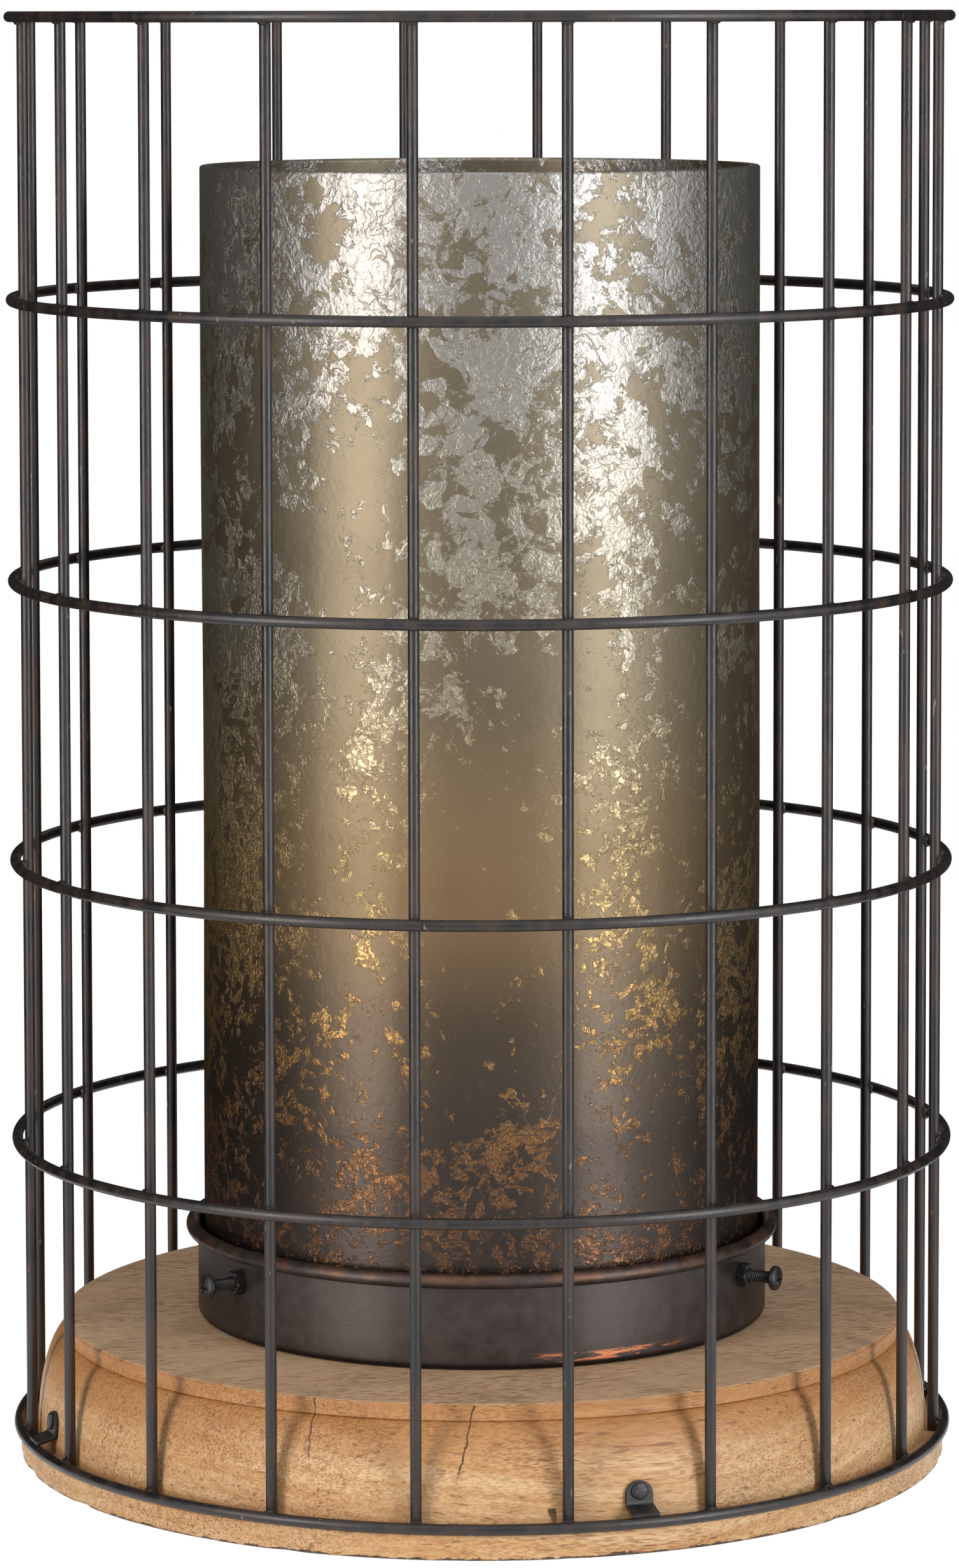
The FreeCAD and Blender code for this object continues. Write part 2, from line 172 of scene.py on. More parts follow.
def mixed(tree, share, a, b, way="MIX"):
    made = node(tree, "ShaderNodeMix", data_type="RGBA", blend_type=way)
    for place, value in ((0, share), (6, a), (7, b)):
        if isinstance(value, bpy.types.NodeSocket):
            tree.links.new(value, made.inputs[place])
        else:
            made.inputs[place].default_value = value
    return made.outputs[2]


def shades(tree, value, stops):
    """A colour ramp: a list of (place from 0 to 1, colour)."""
    made = node(tree, "ShaderNodeValToRGB", {"Fac": value})
    band = made.color_ramp.elements
    while len(band) < len(stops):
        band.new(0.5)
    for element, (place, colour) in zip(band, stops):
        element.position, element.color = place, colour
    return made.outputs["Color"]


def stretched(tree, where, scale=(1, 1, 1), turn=(0, 0, 0), shift=(0, 0, 0)):
    inputs = {"Vector": where, "Scale": scale, "Rotation": [math.radians(t) for t in turn], "Location": shift}
    return node(tree, "ShaderNodeMapping", inputs).outputs["Vector"]


def pushed(tree, where, scale, detail, reach, start=None):
    """Points moved about by soft noise: start + noise x reach, where start is the point itself if not given."""
    noise = node(tree, "ShaderNodeTexNoise", {"Vector": where, "Scale": scale, "Detail": detail}).outputs["Color"]
    reach = reach if isinstance(reach, tuple) else (reach, reach, reach)
    inputs = {0: noise, 1: reach, 2: where if start is None else start}
    return node(tree, "ShaderNodeVectorMath", inputs, operation="MULTIPLY_ADD").outputs[0]


def parts_of(tree, where):
    made = node(tree, "ShaderNodeSeparateXYZ", {0: where})
    return made.outputs["X"], made.outputs["Y"], made.outputs["Z"]


def new_group(name, inputs, outputs):
    tree = bpy.data.node_groups.new(name, "ShaderNodeTree")
    for way, sockets in (("INPUT", inputs), ("OUTPUT", outputs)):
        for label, kind in sockets.items():
            tree.interface.new_socket(label, in_out=way, socket_type="NodeSocket" + kind)
    return tree, tree.nodes.new("NodeGroupInput").outputs, tree.nodes.new("NodeGroupOutput").inputs


def new_finish(name, **plain):
    """A material with the shader's plain values set on its own sockets."""
    material = bpy.data.materials.new(name)
    material.use_nodes = True
    tree = material.node_tree
    shader = tree.nodes["Principled BSDF"]
    for label, value in plain.items():
        shader.inputs[label.replace("_", " ")].default_value = value
    where = tree.nodes.new("ShaderNodeTexCoord").outputs["Object"]
    return material, tree, shader, where


def feed(tree, shader, colour=None, roughness=None, height=None, depth=0.0002, strength=1.0):
    if colour is not None:
        tree.links.new(colour, shader.inputs["Base Color"])
    if roughness is not None:
        tree.links.new(roughness, shader.inputs["Roughness"])
    if height is not None:
        bump = node(tree, "ShaderNodeBump", {"Height": height, "Distance": depth, "Strength": strength})
        tree.links.new(bump.outputs["Normal"], shader.inputs["Normal"])


# %% [markdown]
# ## Two effects that several finishes share
#
# `round_the_axis` unrolls a turned piece: it gives the angle from the front and the height, so that a crack
# or a scrape can be put where it is on the real thing. `worn_coat` is blackened metal as it leaves a small
# workshop: an uneven coat, a few places rubbed to warm metal, and pale dust specks.

# %% Node group: unrolled coordinates
unroll, given, put = new_group("round_the_axis", {"Vector": "Vector"}, {"Angle": "Float", "Height": "Float"})
x, y, z = parts_of(unroll, given["Vector"])
unroll.links.new(sums(unroll, "ARCTAN2", x, sums(unroll, "MULTIPLY", y, -1.0)), put["Angle"])
unroll.links.new(z, put["Height"])


def unrolled(tree, where):
    made = node(tree, "ShaderNodeGroup", node_tree=unroll)
    tree.links.new(where, made.inputs["Vector"])
    return made.outputs["Angle"], made.outputs["Height"]


print("group:", unroll.name)

# %% Node group: worn coat
coat_inputs = {"Vector": "Vector", "Coat": "Color", "Lifted": "Color", "Rub": "Color", "Speck": "Color",
               "Rub Amount": "Float", "Smooth": "Float", "Dull": "Float"}
coat, given, put = new_group("worn_coat", coat_inputs, {"Colour": "Color", "Roughness": "Float", "Height": "Float"})
mottle = cloud(coat, given["Vector"], 160, 4, 0.6)
grain = cloud(coat, given["Vector"], 1500, 2, 0.6)
colour = mixed(coat, gate(coat, mottle, 0.35, 0.7), given["Coat"], given["Lifted"])
rub = gate(coat, cloud(coat, given["Vector"], 210, 6, 0.72, 0.4), 0.665, 0.72)
colour = mixed(coat, sums(coat, "MULTIPLY", rub, given["Rub Amount"]), colour, given["Rub"])
speck = gate(coat, cloud(coat, given["Vector"], 620, 1, 0.4), 0.765, 0.79)
colour = mixed(coat, sums(coat, "MULTIPLY", speck, 0.6), colour, given["Speck"])
coat.links.new(colour, put["Colour"])
dull = gate(coat, sums(coat, "ADD", mottle, sums(coat, "MULTIPLY", grain, 0.4)), 0.45, 0.95)
span = sums(coat, "SUBTRACT", given["Dull"], given["Smooth"])
coat.links.new(sums(coat, "MULTIPLY_ADD", dull, span, given["Smooth"]), put["Roughness"])
lift = sums(coat, "ADD", sums(coat, "MULTIPLY", mottle, 0.5), sums(coat, "MULTIPLY", grain, 0.35))
coat.links.new(lift, put["Height"])
PALE_DUST = tint(150, 142, 130)


def worn(tree, where, coat_colour, lifted, rub_colour, rub_amount, smooth, dull_end, dust=PALE_DUST):
    """The worn coat with a finish's own colours and its smoothest and dullest roughness."""
    made = node(tree, "ShaderNodeGroup", node_tree=coat)
    tree.links.new(where, made.inputs["Vector"])
    values = {"Coat": coat_colour, "Lifted": lifted, "Rub": rub_colour, "Speck": dust,
              "Rub Amount": rub_amount, "Smooth": smooth, "Dull": dull_end}
    for label, value in values.items():
        made.inputs[label].default_value = value
    return made.outputs["Colour"], made.outputs["Roughness"], made.outputs["Height"]


print("group:", coat.name)

# %% [markdown]
# ## The wire cage
#
# Six hoops of round wire are welded to twenty upright rods. A curve with a round bevel would give the wire
# in two lines, but as a lathe each hoop is a small circle carried round the axis, and it needs no modifier.
# Place and thickness come from the CAD nodes, so the new wire lies exactly where the solid one does.

# %% Rings and rods
HOOPS = ["cage_ring_bottom", "cage_ring_5", "cage_ring_4", "cage_ring_3", "cage_ring_2", "cage_ring_top"]
RODS = [f"cage_rod_{i:02d}" for i in range(1, 21)]


def hoop(node_name):
    """Torus: a circle of the wire's radius, its centre carried round the axis at the hoop's radius."""
    low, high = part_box(node_name)
    wire = (high.z - low.z) / 2
    circle = arc((high.x - wire, (low.z + high.z) / 2), wire, 0, 360, 19)[:-1]
    return turned(circle, 240)


def rod(node_name):
    """Upright cylinder with slightly rounded ends, turned about its own axis and moved to its place."""
    low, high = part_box(node_name)
    wire = (high.x - low.x) / 2
    soft = 0.35 * MM
    foot = arc((wire - soft, low.z + soft), soft, -90, 0, 4)
    head = arc((wire - soft, high.z - soft), soft, 0, 90, 4)
    grid = turned(np.concatenate([[[0, low.z]], foot, head, [[0, high.z]]]), 18)
    return grid + np.array([(low.x + high.x) / 2, (low.y + high.y) / 2, 0])


cage = [make_piece(n.replace("cage_", "wire_"), [hoop(n)], "lantern", [n], rows_close=True)
        for n in HOOPS]
cage += [make_piece(n.replace("cage_", "wire_"), [rod(n)], "lantern", [n]) for n in RODS]

# %% [markdown]
# Where a rod meets a hoop the welder left a small lump that fills the corners. There are 120 of them, so each
# is a rounded box of a few dozen faces: a sphere whose points are pushed towards a cube by a power of the sine
# and cosine. Their sizes differ a little from weld to weld. On the top hoop they sit a little low, so that the
# lantern is no taller than its wire.

# %% Welds
WELD_REACH = 148.1 * MM
WELD_HALF = np.array([2.15, 1.25, 1.95]) * MM
TOP_WELD_DROP = 0.5 * MM


def weld_lump(centre, along, size):
    """Rounded box: along the hoop, outwards and up go as signed powers of the sphere's cosines and sines."""
    lat = np.linspace(-np.pi / 2, np.pi / 2, 7)[:, None]
    lon = np.linspace(0, 2 * np.pi, 10, endpoint=False)[None, :]

    def blunt(value):
        return np.sign(value) * np.abs(value) ** 0.75

    across = blunt(np.cos(lat)) * blunt(np.cos(lon)) * size[0]
    out = blunt(np.cos(lat)) * blunt(np.sin(lon)) * size[1]
    up = blunt(np.sin(lat)) * size[2]
    outward = np.array([along[1], -along[0], 0])
    return centre + across[..., None] * along + out[..., None] * outward + up[..., None] * np.array([0, 0, 1])


chance = np.random.default_rng(7)
lumps = []
for hoop_name in HOOPS:
    low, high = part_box(hoop_name)
    for rod_name in RODS:
        rod_low, rod_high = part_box(rod_name)
        middle = np.array([(rod_low.x + rod_high.x) / 2, (rod_low.y + rod_high.y) / 2, 0])
        outward = middle / np.linalg.norm(middle)
        below = TOP_WELD_DROP if hoop_name == "cage_ring_top" else 0.0
        spot = outward * WELD_REACH + np.array([0, 0, (low.z + high.z) / 2 - below])
        size = WELD_HALF * chance.uniform(0.9, 1.12, 3)
        lumps.append(weld_lump(spot, np.array([-outward[1], outward[0], 0]), size))
cage.append(make_piece("wire_welds", lumps, "lantern", sharp=80))

# %% [markdown]
# The wire has a satin charcoal coat with browner places, drawn out along the rods. Soft lamps draw two long lines
# of light on each rod, so the coat is only half dull, with a fine grain that breaks the lines up.

# %% Wire finish
wire_finish, tree, shader, where = new_finish("charcoal_wire", Specular_IOR_Level=0.62)
drawn_out = stretched(tree, where, (1, 1, 0.3))
charcoal = worn(tree, drawn_out, tint(27, 26, 28), tint(56, 43, 37), tint(118, 78, 58), 0.8, 0.30, 0.46)
feed(tree, shader, *charcoal, depth=0.00012)
for wire in cage:
    wire.data.materials.append(wire_finish)

# %% [markdown]
# ## The turned base
#
# The base is one block of wood, turned on a lathe: a flange with a flat ledge for the lowest hoop, a quarter
# round that leans in, and a low lip under the flat top. The profile below is the turner's own, from the
# middle of the underside out and up to the middle of the top.

# %% Wooden base
def wood_profile():
    """Underside, rounded edge, ledge, quarter ellipse from the ledge up to the crease, hollow lip, top."""
    edge = arc((148.7, 0.8), 0.8, -90, 0, 5)
    ledge = arc((149.1, 7.6), 0.4, 0, 90, 4)
    t = np.radians(np.linspace(0, 90, 28))
    ovolo = np.stack([134.2 + 9.8 * np.cos(t), 8.0 + 31.3 * np.sin(t)], -1)
    u = np.linspace(0, 1, 9)
    lip = np.stack([135.6 - 0.25 * 4 * u * (1 - u), 39.3 + 0.3 + 3.9 * u], -1)
    crown = arc((134.6, 43.5), 1.0, 0, 90, 6)
    radii = np.linspace(133, 0, 12)
    top = np.stack([radii, np.full(12, 44.5)], -1)
    under = np.stack([np.linspace(0, 147, 6), np.zeros(6)], -1)
    return np.concatenate([under, edge, ledge, ovolo, [[135.3, 39.3]], lip, crown, top]) * MM


profile = wood_profile()
block = turned(profile, 288)
angle = np.linspace(0, 2 * np.pi, 288, endpoint=False)
chipped = np.clip(wander(angle, 3, 9, 70) - 0.35, 0, None) * 0.9 * MM
low_edge = np.exp(-(profile[:, 1] / (1.5 * MM)) ** 2) * (profile[:, 0] > 147.5 * MM)
drawn_in = 1 - (low_edge[:, None] * chipped[None, :]) / np.maximum(profile[:, 0], 0.1)[:, None]
block[..., :2] *= drawn_in[..., None]
base = make_piece("turned_base", [block], "lantern", ["wood_base"], sharp=50)

# %% [markdown]
# The fibres lie level and run nearly from side to side, so the front shows level flecks, which shorten to dots of
# end grain towards the sides, and the top shows dashes. All of it comes from one solid pattern that the lathe
# cut through: growth rings round a distant pith, and pores drawn out along the fibres.

# %% Wood: fibres, growth rings and pores
FIBRE_TURN = 78
PITH_SIDE, PITH_DEPTH = 0.03, 0.30
wood_finish, tree, shader, where = new_finish("honey_wood", Specular_IOR_Level=0.4)
drift = pushed(tree, where, 5.0, 1.0, (0.05, 0.05, 0.03))
fibre = stretched(tree, drift, turn=(0, 0, FIBRE_TURN))
waver = cloud(tree, stretched(tree, fibre, (22, 6, 22)), 1.0, 2, 0.5)
fx, fy, fz = parts_of(tree, fibre)
pith_side = sums(tree, "POWER", sums(tree, "SUBTRACT", fx, PITH_SIDE), 2.0)
pith_drop = sums(tree, "POWER", sums(tree, "ADD", fz, PITH_DEPTH), 2.0)
from_pith = sums(tree, "SQRT", sums(tree, "ADD", pith_side, pith_drop))
ring = sums(tree, "ADD", from_pith, sums(tree, "MULTIPLY", waver, 0.012))
ring_line = {"X": sums(tree, "MULTIPLY", ring, 260.0), "Y": sums(tree, "MULTIPLY", fy, 9.0)}
growth = cloud(tree, node(tree, "ShaderNodeCombineXYZ", ring_line).outputs[0], 1.0, 3, 0.6)
streak = cloud(tree, stretched(tree, fibre, (520, 22, 520)), 1.0, 3, 0.65)
crowd = gate(tree, cloud(tree, stretched(tree, fibre, (45, 16, 45)), 1.0, 3, 0.6), 0.35, 0.65, 0.45, 1.0)
fine = gate(tree, cloud(tree, stretched(tree, fibre, (1800, 220, 1800)), 1.0, 2, 0.6), 0.46, 0.62)
fine = sums(tree, "MULTIPLY", fine, sums(tree, "MULTIPLY", crowd, 0.72))
large = gate(tree, cloud(tree, stretched(tree, fibre, (760, 75, 760)), 1.0, 1, 0.5), 0.63, 0.74, 0.0, 0.8)
pores = sums(tree, "MAXIMUM", fine, large)

# %% [markdown]
# Colours go on one over the other: pale and dark growth, streaks, pale blotches, then the stain, pale on top, then a
# darker, warmer tone up the side to the lip that is partly stain and partly painted shade, then the pores, which took
# up more of the stain, and last the black paint left along the bottom edge.

# %% Wood: colour and stain
WOOD_TOP = 44.5 * MM
colour = mixed(tree, gate(tree, growth, 0.32, 0.68), tint(248, 209, 159), tint(226, 174, 117))
colour = mixed(tree, gate(tree, streak, 0.44, 0.70, 0.0, 0.6), colour, tint(196, 142, 92))
blotch = cloud(tree, stretched(tree, fibre, (30, 12, 34)), 1.0, 3, 0.55)
colour = mixed(tree, gate(tree, blotch, 0.48, 0.75, 0.0, 0.45), colour, tint(240, 206, 160))
turn_angle, height = unrolled(tree, where)
top_stain = gate(tree, height, WOOD_TOP - 0.4 * MM, WOOD_TOP, 0.0, 0.6)
colour = mixed(tree, top_stain, colour, tint(246, 212, 178))
below_top = gate(tree, height, WOOD_TOP, WOOD_TOP - 0.4 * MM)
# partly stain, partly painted shade: darker and warmer from 20 mm up to the lip
lip_stain_and_shade = sums(tree, "MULTIPLY", gate(tree, height, 20 * MM, 37 * MM), below_top)
colour = mixed(tree, sums(tree, "MULTIPLY", lip_stain_and_shade, 0.75), colour, tint(186, 126, 68))
colour = mixed(tree, fine, colour, tint(158, 98, 58))
colour = mixed(tree, sums(tree, "MULTIPLY", large, 0.7), colour, tint(108, 68, 42))
paint_edge = sums(tree, "ADD", height, sums(tree, "MULTIPLY", cloud(tree, where, 170, 6, 0.7), -4.8 * MM))
colour = mixed(tree, gate(tree, paint_edge, -1.5 * MM, -1.9 * MM, 0.0, 0.88), colour, tint(40, 36, 34))

# %% [markdown]
# Two drying cracks run down from the lip, and a short wide split stands at the foot. A crack is dark where the
# bearing lies within a thin wedge about a leaning line; noise makes the line wander. Pores and cracks are also sunk
# a little, by a bump.

# %% Wood: cracks and relief
def crack(lean_from, lean_to, low, high, width):
    """Dark line down the wood: the angle between two bearings in degrees, from a low to a high height in mm."""
    slope = math.radians(lean_to - lean_from) / ((high - low) * MM)
    start = math.radians(lean_from) - slope * low * MM
    jitter = sums(tree, "MULTIPLY", sums(tree, "SUBTRACT", cloud(tree, where, 230, 3, 0.6), 0.5), 0.016)
    line = sums(tree, "ADD", sums(tree, "MULTIPLY_ADD", height, slope, start), jitter)
    off = sums(tree, "ABSOLUTE", sums(tree, "SUBTRACT", turn_angle, line))
    tail = gate(tree, height, low * MM, (low + 9) * MM)
    reach = sums(tree, "MULTIPLY", tail, gate(tree, height, (high + 0.3) * MM, high * MM))
    thin = sums(tree, "MULTIPLY", tail, math.radians(width))
    return sums(tree, "MULTIPLY", sums(tree, "LESS_THAN", off, thin), reach)


cracks = sums(tree, "MAXIMUM", crack(-21.6, -22.1, 22, 44.0, 0.09), crack(-3.4, -1.0, 18, 44.0, 0.10))
cracks = sums(tree, "MAXIMUM", cracks, crack(8.9, 8.5, 5, 14.0, 0.45))
colour = mixed(tree, sums(tree, "MULTIPLY", cracks, 0.85), colour, tint(48, 28, 18))
sunk = sums(tree, "ADD", sums(tree, "MULTIPLY", pores, 0.5), cracks)
relief = sums(tree, "SUBTRACT", sums(tree, "MULTIPLY", streak, 0.35), sunk)
feed(tree, shader, colour, gate(tree, streak, 0.3, 0.8, 0.40, 0.58), relief, depth=0.00025)
base.data.materials.append(wood_finish)

# %% [markdown]
# ## The spun gallery
#
# The cup that holds the chimney is sheet metal spun over a form, its rim rolled outwards into a bead. One
# profile follows the sheet round both of its faces: the inner floor and wall, round the outside of the roll,
# back round the inside of the roll, and down the outer wall to the underside.

# %% Gallery
inner_corner = arc((90.0, 46.5), 1.2, -90, 0, 5)
roll_outside = arc((93.5, 72.9), 2.3, 180, -120, 40)
roll_inside = arc((93.5, 72.9), 1.5, -120, 180, 30)
outer_corner = arc((90.0, 46.5), 2.0, 0, -90, 7)
walls = np.linspace(48, 71, 9)[:, None]
inner_wall = np.concatenate([np.full((9, 1), 91.2), walls], 1)
outer_wall = np.concatenate([np.full((9, 1), 92.0), walls[::-1]], 1)
spun = np.concatenate([[[0, 45.3]], [[60, 45.3]], inner_corner, inner_wall, roll_outside, roll_inside, outer_wall,
                       outer_corner, [[60, 44.5]], [[0, 44.5]]]) * MM
gallery = make_piece("spun_gallery", [turned(spun, 240)], "lantern", ["gallery_cup"], sharp=60)

# %% [markdown]
# Its finish is dark bronze brown, dull enough to show only broad grey sheens. The bead is rubbed towards copper, and
# the corner at the foot is darkened nearly to black with painted shade. On the right of the front the coat is scraped
# to bright copper just above that corner.

# %% Gallery finish
bronze_finish, tree, shader, where = new_finish("dark_bronze", Metallic=0.85)
colour, rough, relief = worn(tree, where, tint(75, 68, 66), tint(85, 78, 76), tint(112, 81, 65), 0.25, 0.40, 0.54,
                             dust=tint(96, 84, 78))
turn_angle, height = unrolled(tree, where)
bead = gate(tree, height, 71.5 * MM, 73.8 * MM)
bead_rub = sums(tree, "MULTIPLY", bead, gate(tree, cloud(tree, where, 70, 5, 0.65), 0.40, 0.62))
colour = mixed(tree, sums(tree, "MULTIPLY", bead_rub, 0.6), colour, tint(136, 94, 70))
# painted shade: the corner at the foot is darkened as if it lay in shadow
corner = gate(tree, height, 47.4 * MM, 45.6 * MM, 0.0, 0.8)
colour = mixed(tree, corner, colour, tint(24, 22, 22))
begins = gate(tree, turn_angle, math.radians(9), math.radians(13))
ends = gate(tree, turn_angle, math.radians(45), math.radians(36))
wide = sums(tree, "MULTIPLY", begins, ends)
low_band = sums(tree, "MULTIPLY", gate(tree, height, 46.2 * MM, 47 * MM), gate(tree, height, 49.8 * MM, 48.4 * MM))
torn = gate(tree, cloud(tree, stretched(tree, where, (60, 60, 420)), 1.0, 6, 0.7), 0.49, 0.55)
scrape = sums(tree, "MULTIPLY", sums(tree, "MULTIPLY", wide, low_band), torn)
colour = mixed(tree, sums(tree, "MULTIPLY", scrape, 0.9), colour, tint(228, 146, 98))
feed(tree, shader, colour, rough, relief, depth=0.0001)
gallery.data.materials.append(bronze_finish)

# %% [markdown]
# ## Nuts and set screws
#
# Three screws run in nuts on the gallery's wall and bear on the glass. A nut is a prism whose radius follows a
# hexagon, cut by a cone on its outer face. A screw is one grid from tip to crown: the thread is a ridge whose
# phase turns once round for each step along, and the cross in the head is a dip in the crown's height.

# %% Nuts
SCREWS = ["set_screw_1", "set_screw_2", "set_screw_3"]
SCREW_Z = 63.6 * MM


def bearing(node_name):
    """Outward and sideways unit vectors of a node that lies on a radius."""
    low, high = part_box(node_name)
    outward = np.array([low.x + high.x, low.y + high.y, 0])
    outward /= np.linalg.norm(outward)
    return outward, np.array([-outward[1], outward[0], 0])


def radial(along, radius, angle, outward, sideways, height):
    """Points at a distance along a radius, and at a radius and angle round it."""
    up = np.array([0, 0, 1])
    across = sideways * (radius * np.cos(angle))[..., None] + up * (height + radius * np.sin(angle))[..., None]
    return outward * along[..., None] + across


def nut(outward, sideways):
    """Hexagon of 7 mm across flats, r = 3.5 / cos(angle to the nearest flat), held in by a 45 degree cone."""
    angle = np.linspace(0, 2 * np.pi, 72, endpoint=False)
    hexagon = 3.5 / np.cos((angle % (np.pi / 3)) - np.pi / 6)
    heights = np.array([0.0, 0.0, 2.4, 2.65, 2.8, 2.95, 3.1, 3.2, 3.2, 2.9, 0.0])
    bore = np.array([1, 0, 0, 0, 0, 0, 0, 0, 1, 1, 1])
    cone = 3.5 + 3.2 - heights
    radius = np.where(bore[:, None] > 0, 2.06, np.minimum(hexagon[None, :], cone[:, None]))
    radius[8] = 2.4
    along = 92.0 + heights[:, None] + 0 * angle
    return radial(along * MM, radius * MM, angle + 0 * radius, outward, sideways, SCREW_Z)


nuts = [nut(*bearing(n)) for n in SCREWS]
hardware = [make_piece("hexagon_nuts", nuts, "lantern", ["gallery_nuts"], rows_close=True,
                       sharp=25)]

# %% Set screws
SCREW_TIP, HEAD_SEAT, SCREW_PITCH, HEAD_RADIUS = 90.3, 103.2, 0.7, 3.9


def screw_grid(outward, sideways):
    """Thread: radius 1.66 to 2.0 by a triangle wave of (distance / pitch - turn). Head: straight edge, then a
    quarter ellipse to the crown, less the depth of a cross where it lies within the recess."""
    angle = np.linspace(0, 2 * np.pi, 96, endpoint=False)
    along = np.linspace(SCREW_TIP, HEAD_SEAT, 170)[:, None]
    wave = np.abs(2 * ((along / SCREW_PITCH - angle / (2 * np.pi)) % 1) - 1)
    lead = np.clip((along - SCREW_TIP) / 0.8, 0, 1)
    thread = (1.66 + 0.34 * wave) * (0.8 + 0.2 * lead)
    t = np.radians(np.linspace(0, 90, 34))[:, None]
    crown_r = HEAD_RADIUS * np.cos(t)
    crown_s = 104.3 + 1.6 * np.sin(t)
    x, y = crown_r * np.cos(angle), crown_r * np.sin(angle)

    def arm(a, b):
        return np.clip((0.62 - np.abs(a)) / 0.24, 0, 1) * np.clip((2.3 - np.abs(b)) / 0.3, 0, 1)

    dip = np.maximum(arm(x, y), arm(y, x)) * 1.15
    level = np.zeros((1, len(angle)))
    radius = np.concatenate([level, thread, level + 3.6, level + HEAD_RADIUS, crown_r + level])
    distance = np.concatenate([level + SCREW_TIP, along + level, level + HEAD_SEAT, level + 103.5, crown_s - dip])
    return radial(distance * MM, radius * MM, angle + 0 * radius, outward, sideways, SCREW_Z)


for n in SCREWS:
    screw = screw_grid(*bearing(n))
    hardware.append(make_piece(n.replace("set", "pan_head"), [screw], n, [n], sharp=45))

# %% [markdown]
# ## Tabs and nails
#
# Four strips hold the lowest hoop down: each lies on the ledge over the wire, bends up against the wood and is
# nailed there. A strip is a rectangle with eased edges carried along a bent line, and its width narrows to
# nothing along a half circle at the top. A nail's head is a low dome that the hammer has left uneven.

# %% Tabs
TABS = ["fixing_tab_1", "fixing_tab_2", "fixing_tab_3", "fixing_tab_4"]
TAB_TOP = np.array([143.321, 21.3])
TAB_BEND = np.array([144.037, 13.263])
TAB_FOOT = np.array([150.479, 11.537])


def tab_path():
    """The wood side of the strip: straight down from the top, round the bend, straight out over the hoop.
    Gives points and the normals on the outer side."""
    down = (TAB_BEND - TAB_TOP) / np.linalg.norm(TAB_BEND - TAB_TOP)
    out = (TAB_FOOT - TAB_BEND) / np.linalg.norm(TAB_FOOT - TAB_BEND)
    turn = math.acos(float(down @ out))
    trim = 2.2 * math.tan(turn / 2)
    t = np.linspace(0, 1, 9)[:, None]
    rise = (1 - np.cos(np.radians(np.linspace(0, 90, 12))))[:, None] * 4.5
    rest = np.linspace(4.5, np.linalg.norm(TAB_BEND - TAB_TOP) - trim, 4)[1:, None]
    start = TAB_TOP + down * np.concatenate([rise, rest])
    down_n, out_n = np.array([-down[1], down[0]]), np.array([-out[1], out[0]])
    centre = TAB_BEND - down * trim + down_n * 2.2
    swing = down_n * np.sin((1 - t) * turn) / math.sin(turn) + out_n * np.sin(t * turn) / math.sin(turn)
    end = TAB_BEND + out * np.linspace(trim, np.linalg.norm(TAB_FOOT - TAB_BEND), 4)[1:, None]
    normals = np.concatenate([np.repeat(down_n[None], len(start), 0), swing[1:], np.repeat(out_n[None], len(end), 0)])
    return np.concatenate([start, centre - swing[1:] * 2.2, end]), normals


def tab(outward, sideways):
    """A flat loop of the strip's width and thickness at each point of the path; the top loop has no width, and the
    foot closes on one point."""
    line, normals = tab_path()
    from_top = np.linalg.norm(line - line[0], axis=1)
    half = np.where(from_top < 4.5, np.sqrt(np.clip(4.5 ** 2 - (4.5 - from_top) ** 2, 0, None)), 4.5)
    across = np.array([-1, -1, -0.955, 0, 0.955, 1, 1, 0.955, 0, -0.955])
    thick = np.array([0.85, 0.35, 0, 0, 0, 0.35, 0.85, 1.2, 1.2, 1.2])
    flat = line[:, None, :] + normals[:, None, :] * thick[None, :, None]
    side = half[:, None] * across[None, :]
    end_point = line[-1] + normals[-1] * 0.6
    flat = np.concatenate([flat, np.broadcast_to(end_point, (1, 10, 2))])
    side = np.concatenate([side, np.zeros((1, 10))])
    up = np.array([0, 0, 1])
    return (outward * flat[..., :1] + up * flat[..., 1:] + sideways * side[..., None]) * MM


for n in TABS:
    strap = tab(*bearing(n))
    hardware.append(make_piece(n.replace("fixing", "strap"), [strap], "lantern", [n], sharp=35))

# %% Nails
def nail(outward, sideways, seed):
    """Turned about its own line: point, shank, underside, edge, and a crown that is a little uneven."""
    down = (TAB_BEND - TAB_TOP) / np.linalg.norm(TAB_BEND - TAB_TOP)
    normal = np.array([-down[1], down[0]])
    seat = TAB_TOP + down * 3.2 + normal * 1.2
    steps = np.array([-14.0, -12.0, -0.05, 0.0, 0.02, 0.35, 0.7, 0.86, 0.9, 0.9])
    radii = np.array([0.0, 1.2, 1.2, 2.2, 2.6, 2.7, 2.6, 2.3, 1.2, 0.0])
    angle = np.linspace(0, 2 * np.pi, 32, endpoint=False)
    uneven = 1 + 0.05 * wander(angle, seed, 2, 5) * (steps > 0.01)[:, None]
    radius = radii[:, None] * np.clip(uneven, 0.9, 1.0)
    dent = 0.08 * wander(angle, seed + 9, 1, 4) * (steps > 0.5)[:, None] * (radii / 2.7)[:, None]
    along = steps[:, None] + np.minimum(dent, 0.0)
    up = np.array([0, 0, 1])
    out_line = outward * normal[0] + up * normal[1]
    up_line = -(outward * down[0] + up * down[1])
    middle = outward * seat[0] + up * seat[1]
    round_it = sideways * (radius * np.cos(angle))[..., None] + up_line * (radius * np.sin(angle))[..., None]
    return (middle + out_line * along[..., None] + round_it) * MM


nails = [nail(*bearing(n), 20 + i) for i, n in enumerate(TABS)]
hardware.append(make_piece("clout_nails", nails, "lantern", ["tab_nails"], sharp=50))

# %% [markdown]
# All of this small iron is black and a little glossy. The wood screws in the gallery's floor keep their CAD
# shape and only take the finish.

